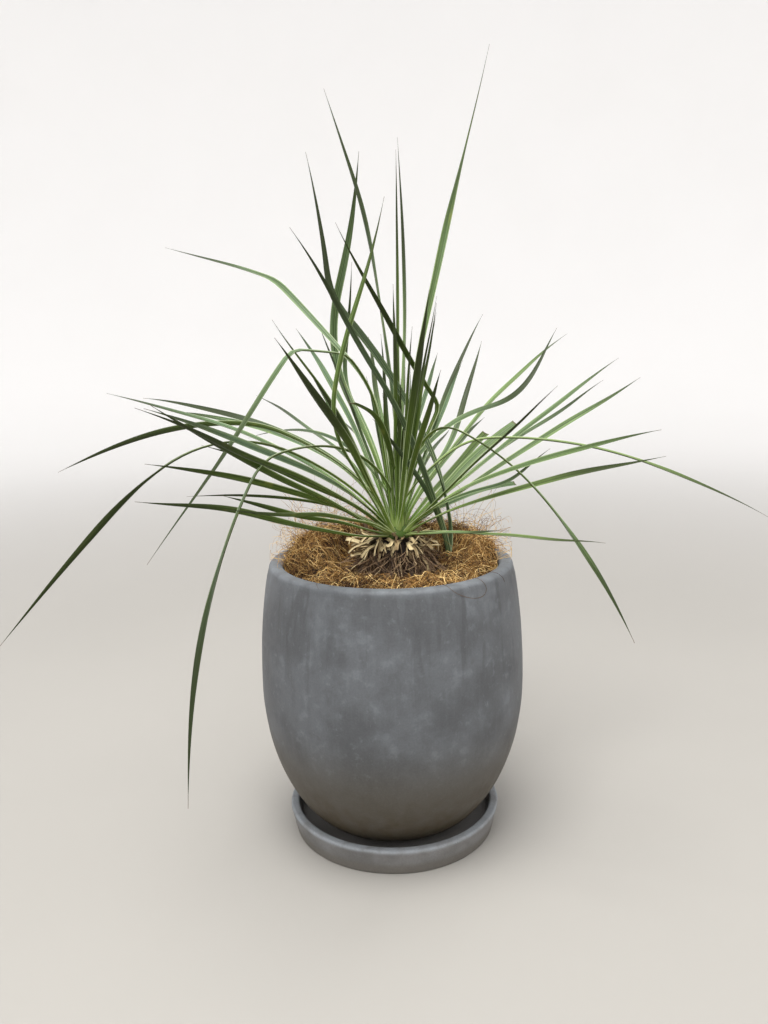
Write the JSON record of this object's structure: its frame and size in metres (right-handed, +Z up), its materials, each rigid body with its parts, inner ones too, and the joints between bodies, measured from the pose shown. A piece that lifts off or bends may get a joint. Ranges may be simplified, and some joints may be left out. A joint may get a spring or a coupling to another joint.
{
  "type": "potted beaked yucca",
  "caption": "Beaked yucca with a fountain of long narrow blades, coir-topped, in a rounded cement pot on a round saucer.",
  "frame": {"origin": "centre of the saucer's flat underside, on the pot's axis, on the surface that the part stands on", "axes": "+Z up, -Y towards the front that the picture shows, +X to the right seen from the front"},
  "size_m": [0.5296, 0.5745, 0.5957],
  "materials": {
    "saucer_cement": "matt grey cement",
    "pot_cement": "matt blue-grey mottled cement",
    "net_plastic": "matt dark plastic net",
    "soil": "composted bark and peat",
    "coir_fibre": "dry golden brown fibre",
    "dry_leaf_base": "dry cut leaf bases on a brown stem",
    "green_blade": "waxy green leaf with a pale edge",
    "blue_green_blade": "waxy blue-green leaf"
  },
  "bodies": {
    "root": {"saucer": "saucer_cement", "pot": "pot_cement", "drainage_mesh": "net_plastic", "potting_soil": "soil", "coir_mulch": "coir_fibre", "trunk": "dry_leaf_base", "leaf_crown": "green_blade", "side_shoot": "blue_green_blade"}
  },
  "joints": []
}
